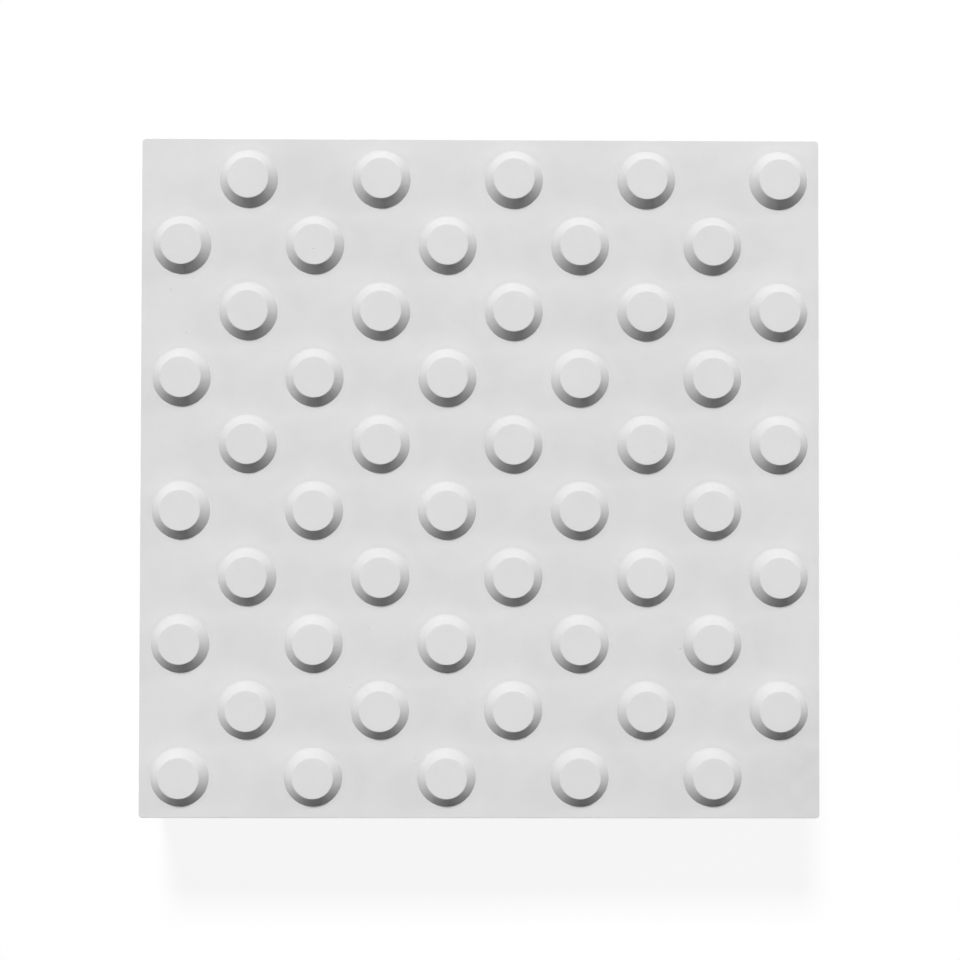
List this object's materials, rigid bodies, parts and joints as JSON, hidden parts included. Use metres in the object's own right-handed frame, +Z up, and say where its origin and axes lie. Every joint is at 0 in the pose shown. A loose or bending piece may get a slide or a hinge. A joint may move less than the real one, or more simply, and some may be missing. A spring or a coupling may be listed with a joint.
{
  "type": "tactile paving slab",
  "caption": "Square cast concrete paving slab with staggered rows of flat-topped truncated domes, a warning surface that is felt underfoot.",
  "frame": {"origin": "centre of the bed face, on which the slab lies", "axes": "+Z up out of the walking face, +X and +Y along the slab's sides, with empty corners at -X+Y and +X-Y"},
  "size_m": [0.3, 0.3, 0.065],
  "materials": {
    "concrete": "matte"
  },
  "bodies": {
    "root": {"tactile_slab": "concrete"}
  },
  "joints": []
}
